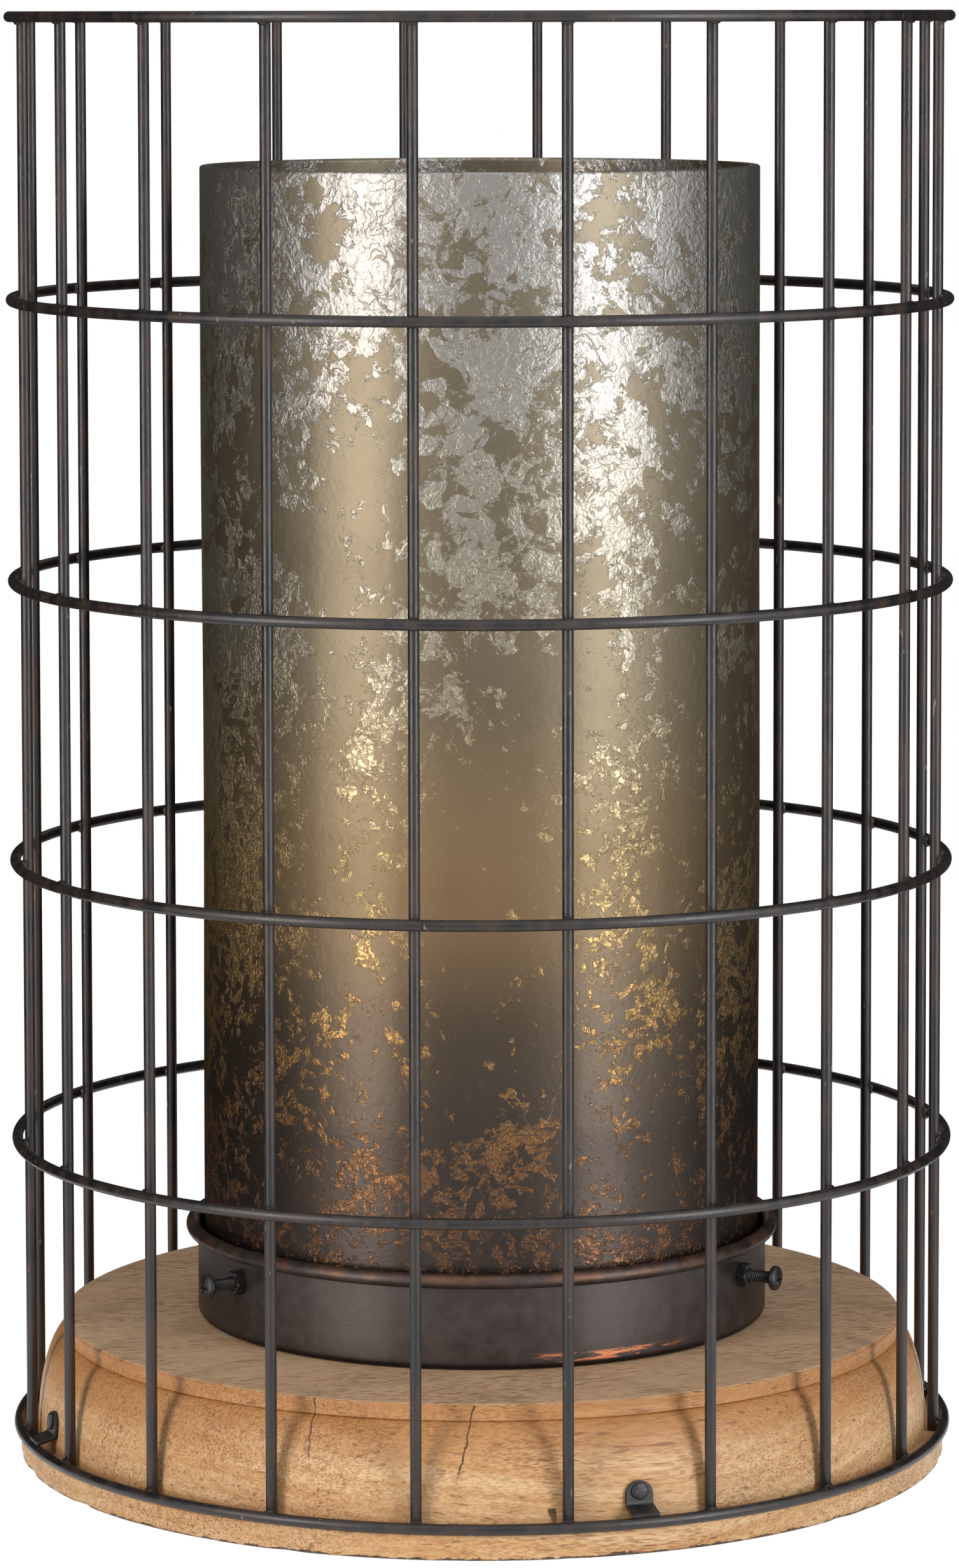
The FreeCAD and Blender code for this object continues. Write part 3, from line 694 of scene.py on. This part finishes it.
# %% Hardware finish
iron_finish, tree, shader, where = new_finish("blackened_iron", Specular_IOR_Level=0.5)
black = worn(tree, where, tint(30, 29, 29), tint(44, 43, 43), tint(96, 70, 54), 0.45, 0.30, 0.52)
feed(tree, shader, *black, depth=0.00015)
for iron in hardware:
    iron.data.materials.append(iron_finish)
wood_screw_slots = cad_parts["gallery_wood_screws"].data.materials
wood_screw_slots.clear()
wood_screw_slots.append(iron_finish)

# %% [markdown]
# ## The glass chimney
#
# A blown cylinder, so its wall is not quite even: the radius wavers by a few tenths of a millimetre. The
# profile goes up the outside, over the fire-polished rim and down the inside, and closes on itself.

# %% Chimney
def chimney_grid():
    """Closed wall: outer line, rounded rim, inner line, rounded foot, carried round the axis and pushed out or
    in by slow waves of angle and height."""
    outer = np.stack([np.full(60, 90.0), np.linspace(46.6, 414.0, 60)], -1)
    rim = np.concatenate([arc((89.1, 414.4), 0.9, 0, 90, 5), arc((88.1, 414.4), 0.9, 90, 180, 5)])
    inner = np.stack([np.full(60, 87.2), np.linspace(414.0, 46.6, 60)], -1)
    foot = np.concatenate([arc((88.1, 46.2), 0.9, 180, 270, 5), arc((89.1, 46.2), 0.9, 270, 360, 5)])
    line = np.concatenate([outer, rim, inner, foot])
    angle = np.linspace(0, 2 * np.pi, 240, endpoint=False)
    rise = line[:, 1:] / 370.0
    waver = 0.16 * np.sin(3 * angle + 5 * rise) + 0.12 * np.sin(5 * angle - 11 * rise) - 0.28
    return turned(line * MM, 240) + np.stack([waver * np.sin(angle), -waver * np.cos(angle), 0 * waver], -1) * MM


chimney = make_piece("leafed_chimney", [chimney_grid()], "chimney", ["glass_chimney"],
                     rows_close=True, sharp=60)

# %% [markdown]
# The glass is stained smoky brown, darker towards the foot, and torn metal leaf lies on it: silver above, gold
# half way down, copper at the foot. Leaf and stain are both nearly metal, so what the eye sees is mostly the
# lamps, blurred.

# %% Leafed glass: stain and leaf by height
GLASS_FOOT, GLASS_RIM = 45.3 * MM, 415.3 * MM
# Emission Strength sets the strength of the painted glow below.
glass_finish, tree, shader, where = new_finish("leafed_glass", Metallic=0.8, Transmission_Weight=0.48, IOR=1.45,
                                                Specular_Tint=(0.34, 0.27, 0.22, 1.0), Emission_Strength=0.09)
turn_angle, height = unrolled(tree, where)
climb = node(tree, "ShaderNodeMapRange", {"Value": height, "From Min": GLASS_FOOT, "From Max": GLASS_RIM})
climb = climb.outputs["Result"]
stain = shades(tree, climb, [(0.06, tint(68, 61, 59)), (0.18, tint(82, 73, 67)), (0.30, tint(98, 86, 73)),
                             (0.42, tint(118, 105, 84)), (0.62, tint(134, 122, 101)), (0.9, tint(136, 126, 108))])
speck = cloud(tree, where, 45, 6, 0.72)
stain = mixed(tree, gate(tree, speck, 0.45, 0.75, 0.0, 0.3), stain, tint(92, 80, 66))
leaf = shades(tree, climb, [(0.06, tint(108, 78, 60)), (0.18, tint(142, 102, 68)), (0.28, tint(176, 138, 86)),
                            (0.42, tint(184, 160, 114)), (0.60, tint(180, 171, 152)), (0.9, tint(178, 175, 170))])

# %% [markdown]
# The leaf lies where a cloudy pattern, broken into crumbs and flakes, passes a limit that rises and falls with
# height. The limit is higher down the middle of the front, where little leaf is left.

# %% Leafed glass: where the leaf lies
warp = pushed(tree, where, 60.0, 4.0, 0.012)
sheet = cloud(tree, stretched(tree, warp, (1, 1, 0.75)), 19, 5, 0.6, 0.6)
crumb = cloud(tree, warp, 150, 7, 0.8, 0.4)
small_flake, large_flake = (cells(tree, warp, scale, "F1", "Color") for scale in (330.0, 150.0))
flake = mixed(tree, gate(tree, climb, 0.35, 0.75), small_flake, large_flake)
crumbs = sums(tree, "MULTIPLY", sums(tree, "SUBTRACT", crumb, 0.5), 0.8)
bits = sums(tree, "MULTIPLY_ADD", sums(tree, "SUBTRACT", flake, 0.5), 0.20, crumbs)
broken = sums(tree, "MULTIPLY", bits, gate(tree, climb, 0.35, 0.85, 1.6, 1.2))
limits = {0.0: 0.53, 0.3: 0.545, 0.55: 0.53, 0.72: 0.51, 0.88: 0.47, 1.0: 0.42}
limit = shades(tree, climb, [(place, (level, level, level, 1)) for place, level in limits.items()])
middle = gate(tree, sums(tree, "ABSOLUTE", sums(tree, "SUBTRACT", turn_angle, 0.06)), 0.34, 0.14)
half_way = sums(tree, "MULTIPLY", gate(tree, climb, 0.04, 0.16), gate(tree, climb, 0.66, 0.5))
calm = sums(tree, "MULTIPLY", middle, half_way)
past = sums(tree, "SUBTRACT", sums(tree, "ADD", sheet, broken), sums(tree, "MULTIPLY_ADD", calm, 0.10, limit))
laid = gate(tree, past, -0.006, 0.016)

# %% [markdown]
# Cracks cut the leaf, drawn out upright in some places and level in others, and low down it is split into small
# platelets. Its folds and ripples are a bump, fainter on the bare film.

# %% Leafed glass: cracks and folds
shiver = pushed(tree, where, 260.0, 3.0, 0.007, warp)
upright = cells(tree, stretched(tree, shiver, (1.5, 1.5, 0.45)), 210.0, "DISTANCE_TO_EDGE")
level = cells(tree, stretched(tree, shiver, (0.5, 0.5, 1.5)), 210.0, "DISTANCE_TO_EDGE")
web = mixed(tree, gate(tree, cloud(tree, where, 34, 2, 0.5), 0.47, 0.53), upright, level)
split = sums(tree, "MULTIPLY", gate(tree, web, 0.07, 0.02), gate(tree, cloud(tree, where, 70, 4, 0.6), 0.42, 0.56))
platelet = gate(tree, cells(tree, shiver, 400.0, "DISTANCE_TO_EDGE"), 0.14, 0.05)
split = sums(tree, "MAXIMUM", split, sums(tree, "MULTIPLY", platelet, gate(tree, climb, 0.45, 0.8, 0.9, 0.2)))
laid = sums(tree, "MULTIPLY", laid, sums(tree, "SUBTRACT", 1.0, sums(tree, "MULTIPLY", split, 0.75)))
colour = mixed(tree, laid, stain, leaf)
folds = cells(tree, shiver, 330.0, "F1")
ripple = cloud(tree, warp, 420, 4, 0.62, 0.8)
relief = sums(tree, "MULTIPLY", sums(tree, "ADD", folds, ripple), sums(tree, "MULTIPLY_ADD", laid, 0.8, 0.2))
film_rough = gate(tree, climb, 0.1, 0.5, 0.36, 0.44)
rough = node(tree, "ShaderNodeMapRange", {"Value": laid, "To Min": film_rough, "To Max": 0.33}).outputs["Result"]

# %% [markdown]
# The film passes little light, so the candle's glow is painted on the glass as a faint emission at the height of the
# flame, behind the leaf, strongest where one looks straight through the glass.

# %% Leafed glass: painted glow and shader
# painted glow: the glass emits warm light of its own in a band at the flame's height
band = sums(tree, "MULTIPLY", gate(tree, height, 145 * MM, 190 * MM), gate(tree, height, 260 * MM, 200 * MM))
facing = node(tree, "ShaderNodeLayerWeight", {"Blend": 0.5}).outputs["Facing"]
through = sums(tree, "MULTIPLY", band, sums(tree, "POWER", sums(tree, "SUBTRACT", 1.0, facing), 3.0))
through = sums(tree, "MULTIPLY", through, sums(tree, "SUBTRACT", 1.0, laid))
tree.links.new(mixed(tree, through, (0, 0, 0, 1), tint(255, 190, 118)), shader.inputs["Emission Color"])
feed(tree, shader, colour, rough, relief, depth=0.0004, strength=0.5)
chimney.data.materials.append(glass_finish)

# %% [markdown]
# ## The candle
#
# A pillar of ivory wax with a melted pool, a bent black wick and a small flame. From the front it hides behind
# the glass, but it shows from above and when the chimney is lifted. The light that the wax near the flame lets
# through is painted on as a little emission that fades downwards.

# %% Candle, wick and flame
FLAME_FOOT, FLAME_TIP = 176.5 * MM, 203.5 * MM


def candle_profile():
    """Foot bevel, side, rounded shoulder, and a pool whose floor meets the rim by a smooth curve."""
    shoulder = arc((33.5, 171.3), 4.0, 0, 90, 7)
    side = np.stack([np.full(20, 37.5), np.linspace(47.2, 170.5, 20)], -1)
    u = np.linspace(0, 1, 9)
    pool = np.stack([31.0 - 6 * u, 175.3 - 3.5 * (3 * u ** 2 - 2 * u ** 3)], -1)
    return np.concatenate([[[0, 45.3]], [[36.0, 45.3]], side, shoulder, pool, [[12, 171.8]], [[0, 171.8]]]) * MM


wax = turned(candle_profile(), 128)
candle = make_piece("pillar_wax", [wax], "candle", ["pillar_candle"], sharp=50)


def wick_grid():
    """A thin tube: circles of 0.9 mm carried up a line that bends over near its charred end."""
    u = np.linspace(0, 1, 24)[:, None]
    bend = 2.2 * np.clip((u - 0.72) / 0.28, 0, 1) ** 2
    rise = 151.8 + 28.4 * u
    angle = np.linspace(0, 2 * np.pi, 14, endpoint=False)
    to_end = np.clip((np.abs(u - 0.5) - 0.47) / 0.03, 0, 1)
    strands = 1 + 0.06 * np.sin(9 * rise + 3 * angle)
    radius = 0.9 * np.sqrt(np.clip(1 - to_end ** 2, 0, None)) * strands
    return np.stack([bend + radius * np.cos(angle), radius * np.sin(angle), rise + 0 * angle], -1) * MM


wick = make_piece("charred_wick", [wick_grid()], "candle", ["candle_wick"], sharp=60)
u = np.linspace(0, 1, 30)
girth = 5.2 * MM * np.sin(np.pi * u ** 0.62) * (1 - 0.45 * u)
drop = np.stack([girth, FLAME_FOOT + (FLAME_TIP - FLAME_FOOT) * u], -1)
flame = turned(drop, 32) + np.array([1.2 * MM, 0, 0])
flame = make_piece("candle_flame", [flame], "candle", sharp=80)

# %% Wax, wick and flame finishes
# Emission Strength sets the strength of the wax's painted glow.
wax_finish, tree, shader, where = new_finish("ivory_wax", Subsurface_Weight=0.25, Subsurface_Scale=0.01,
                                             Emission_Strength=0.7)
mottle = cloud(tree, where, 60, 4, 0.6)
colour = mixed(tree, gate(tree, mottle, 0.3, 0.7), tint(236, 222, 192), tint(224, 204, 166))
height = unrolled(tree, where)[1]
# painted glow: the wax near the flame emits warm light of its own, fading downwards
wax_painted_glow = mixed(tree, gate(tree, height, 130 * MM, 180 * MM), (0, 0, 0, 1), tint(255, 170, 80))
tree.links.new(wax_painted_glow, shader.inputs["Emission Color"])
feed(tree, shader, colour, gate(tree, mottle, 0.3, 0.7, 0.35, 0.5), mottle, depth=0.0006)
candle.data.materials.append(wax_finish)

char_finish, tree, shader, where = new_finish("charred_cotton")
height = unrolled(tree, where)[1]
strand = cloud(tree, stretched(tree, where, (2600, 2600, 700), (0, 0, 30)), 1.0, 2, 0.6)
colour = mixed(tree, gate(tree, height, 170 * MM, 174 * MM), tint(222, 206, 172), tint(30, 26, 24))
feed(tree, shader, colour, gate(tree, strand, 0.3, 0.7, 0.7, 0.95), strand, depth=0.0004)
wick.data.materials.append(char_finish)

flame_finish, tree, shader, where = new_finish("flame", Base_Color=(0, 0, 0, 1), Roughness=1.0,
                                               Specular_IOR_Level=0.0, Emission_Strength=16.0)
height = unrolled(tree, where)[1]
climb = node(tree, "ShaderNodeMapRange", {"Value": height, "From Min": FLAME_FOOT, "From Max": FLAME_TIP})
climb = climb.outputs["Result"]
burning = shades(tree, climb, [(0.0, tint(120, 90, 160)), (0.2, tint(255, 190, 110)), (0.6, tint(255, 226, 160)),
                               (1.0, tint(255, 150, 60))])
tree.links.new(burning, shader.inputs["Emission Color"])
flame.data.materials.append(flame_finish)

# %% [markdown]
# ## The studio
#
# The lantern stands on a round white table. Two tall soft lamps stand left and right of the camera, so that each
# wire carries two lines of light and throws its shadow on the wood towards the middle. The room is white to the
# eye and to mirrors, and lights dull surfaces only a little. Metal and glass mirror the lamps, that room, a dark
# card on each side and a grey card in front; the cards are not in the picture and throw no shadow.

# %% Table
def direct_rays(tree):
    """1 for rays that come from the camera, off a mirror or through glass, and 0 for those that only carry light."""
    seen = node(tree, "ShaderNodeLightPath").outputs
    bent = sums(tree, "MAXIMUM", seen["Is Glossy Ray"], seen["Is Transmission Ray"])
    return sums(tree, "MAXIMUM", seen["Is Camera Ray"], bent)


table_mesh = bpy.data.meshes.new("round_table")
discs = np.stack([np.linspace(0.0, 0.34, 8), np.full(8, -0.0003)], -1)
table_mesh.from_pydata(turned(discs, 96).reshape(-1, 3).tolist(), [], quads(8, 96, False, True).tolist())
table = bpy.data.objects.new("round_table", table_mesh)
bpy.context.scene.collection.objects.link(table)
table_finish = bpy.data.materials.new("white_table")
table_finish.use_nodes = True
tree = table_finish.node_tree
plain = tree.nodes["Principled BSDF"]
plain.inputs["Base Color"].default_value = (0.82, 0.82, 0.82, 1)
plain.inputs["Roughness"].default_value = 0.9
white = node(tree, "ShaderNodeEmission", {"Color": (1, 1, 1, 1), "Strength": 1.15})
share = sums(tree, "MULTIPLY", direct_rays(tree), 0.85)
both = node(tree, "ShaderNodeMixShader", {0: share, 1: plain.outputs[0], 2: white.outputs[0]})
tree.links.new(both.outputs[0], tree.nodes["Material Output"].inputs["Surface"])
table_mesh.materials.append(table_finish)

# %% Room and lamps
world = bpy.data.worlds.new("studio")
bpy.context.scene.world = world
world.use_nodes = True
tree = world.node_tree
room_light = gate(tree, direct_rays(tree), 0.0, 1.0, 0.36, 1.0)
tree.links.new(room_light, tree.nodes["Background"].inputs["Color"])


def card(name, first, last, reach, shade):
    """Part of an upright cylinder round the lantern between two bearings, out of the picture: glass and metal
    mirror it as the darker parts that give them their form."""
    around = np.radians(np.linspace(first, last, 25))[None, :]
    rise = np.linspace(-0.6, 1.4, 3)[:, None]
    grid = np.stack([reach * np.sin(around) + 0 * rise, -reach * np.cos(around) + 0 * rise, rise + 0 * around], -1)
    mesh = bpy.data.meshes.new(name)
    mesh.from_pydata(grid.reshape(-1, 3).tolist(), [], quads(3, 25, False, False).tolist())
    sheet = bpy.data.objects.new(name, mesh)
    bpy.context.scene.collection.objects.link(sheet)
    sheet.visible_camera = sheet.visible_diffuse = sheet.visible_shadow = sheet.visible_transmission = False
    finish = bpy.data.materials.new(name)
    finish.use_nodes = True
    inputs = finish.node_tree.nodes["Principled BSDF"].inputs
    inputs["Base Color"].default_value = (0, 0, 0, 1)
    inputs["Specular IOR Level"].default_value = 0.0
    inputs["Emission Color"].default_value = (1, 1, 1, 1)
    inputs["Emission Strength"].default_value = shade
    mesh.materials.append(finish)


card("dark_card_left", -178, -72, 0.7, 0.02)
card("dark_card_right", 90, 178, 0.7, 0.02)
card("grey_card_front", -34, 34, 2.3, 0.56)


def soft_lamp(name, azimuth, distance, height, width, tall, radiance, colour):
    """A rectangle of even light that faces the lantern: power = radiance x pi x area."""
    data = bpy.data.lights.new(name, "AREA")
    data.shape, data.size, data.size_y = "RECTANGLE", width, tall
    data.energy, data.color = radiance * math.pi * width * tall, colour
    lamp = bpy.data.objects.new(name, data)
    a = math.radians(azimuth)
    lamp.location = (distance * math.sin(a), -distance * math.cos(a), height)
    lamp.rotation_euler = (math.radians(90), 0, a)
    lamp.visible_camera = False
    bpy.context.scene.collection.objects.link(lamp)
    return lamp


soft_lamp("soft_lamp_left", -47, 1.5, 0.42, 0.50, 1.3, 6.0, (1.0, 0.94, 0.87))
soft_lamp("soft_lamp_right", 48, 1.5, 0.42, 0.42, 1.3, 7.2, (0.96, 0.98, 1.0))

# %% [markdown]
# ## The camera
#
# A long lens at the height of the cage's top, tilted a little down. The picture was cropped low, which is a
# shift of the lens and not a tilt, so the uprights stay upright.

# %% Camera and picture
data = bpy.data.cameras.new("camera")
data.lens, data.sensor_width, data.shift_y = 134.0, 36.0, -0.2
camera = bpy.data.objects.new("camera", data)
camera.location = (0.0, -1.8714, 0.4647)
camera.rotation_euler = (math.radians(90 - 4.513), math.radians(0.1), 0.0)
bpy.context.scene.collection.objects.link(camera)
bpy.context.scene.camera = camera
bpy.context.scene.view_settings.view_transform = "Standard"
